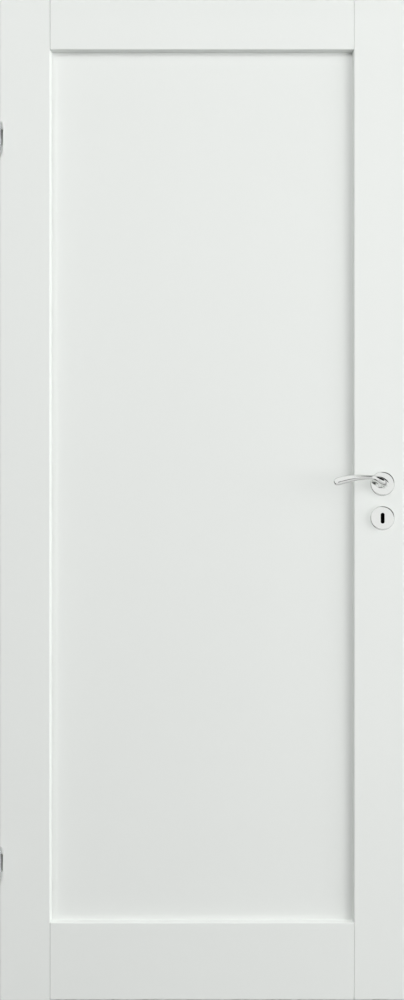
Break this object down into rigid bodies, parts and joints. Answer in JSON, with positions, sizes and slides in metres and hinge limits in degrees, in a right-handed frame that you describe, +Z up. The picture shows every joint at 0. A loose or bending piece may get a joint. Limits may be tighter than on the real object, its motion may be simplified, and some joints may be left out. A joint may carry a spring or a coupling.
{
  "type": "one-panel interior door leaf with lever handles and hinges",
  "caption": "White painted shaker-style interior door leaf with one recessed panel, a mortise lock, lever handles on round roses, keyhole plates and corner hinges.",
  "frame": {"origin": "middle of the lower hinge's frame plate, on the face that lies on the door frame", "axes": "+Z up, +X from the hinge edge to the lock edge, +Y from the front (the side it opens to) to the back"},
  "size_m": [0.8435, 0.1542, 2.04],
  "materials": {
    "white_paint": "satin",
    "polished_chrome": "polished",
    "zinc_plated_steel": "satin",
    "lock_steel": "satin"
  },
  "bodies": {
    "hinge_frame_halves": {"lower_hinge_frame_half": "zinc_plated_steel", "lower_hinge_pin": "zinc_plated_steel", "upper_hinge_frame_half": "zinc_plated_steel", "upper_hinge_pin": "zinc_plated_steel"},
    "door_leaf": {"hinge_stile": "white_paint", "lock_stile": "white_paint", "top_rail": "white_paint", "bottom_rail": "white_paint", "panel": "white_paint", "lower_hinge_leaf_half": "zinc_plated_steel", "upper_hinge_leaf_half": "zinc_plated_steel", "lock_case": "lock_steel", "lock_faceplate": "lock_steel", "latch_bolt": "lock_steel", "dead_bolt": "lock_steel", "front_rose": "polished_chrome", "back_rose": "polished_chrome", "front_keyhole_plate": "polished_chrome", "back_keyhole_plate": "polished_chrome"},
    "lever_handles": {"front_lever": "polished_chrome", "back_lever": "polished_chrome", "spindle": "lock_steel"}
  },
  "joints": [
    {"name": "door_swing", "type": "hinge", "parent": "hinge_frame_halves", "child": "door_leaf", "pos_m": [0.005, -0.01745, 0], "axis": [0, 0, -1], "range_deg": [0, 170]},
    {"name": "lever_turn", "type": "hinge", "parent": "door_leaf", "child": "lever_handles", "pos_m": [0.7875, 0.008, 0.773], "axis": [0, -1, 0], "range_deg": [0, 45], "stiffness_Nm_per_rad": 1.5, "springref_deg": -40.11}
  ]
}
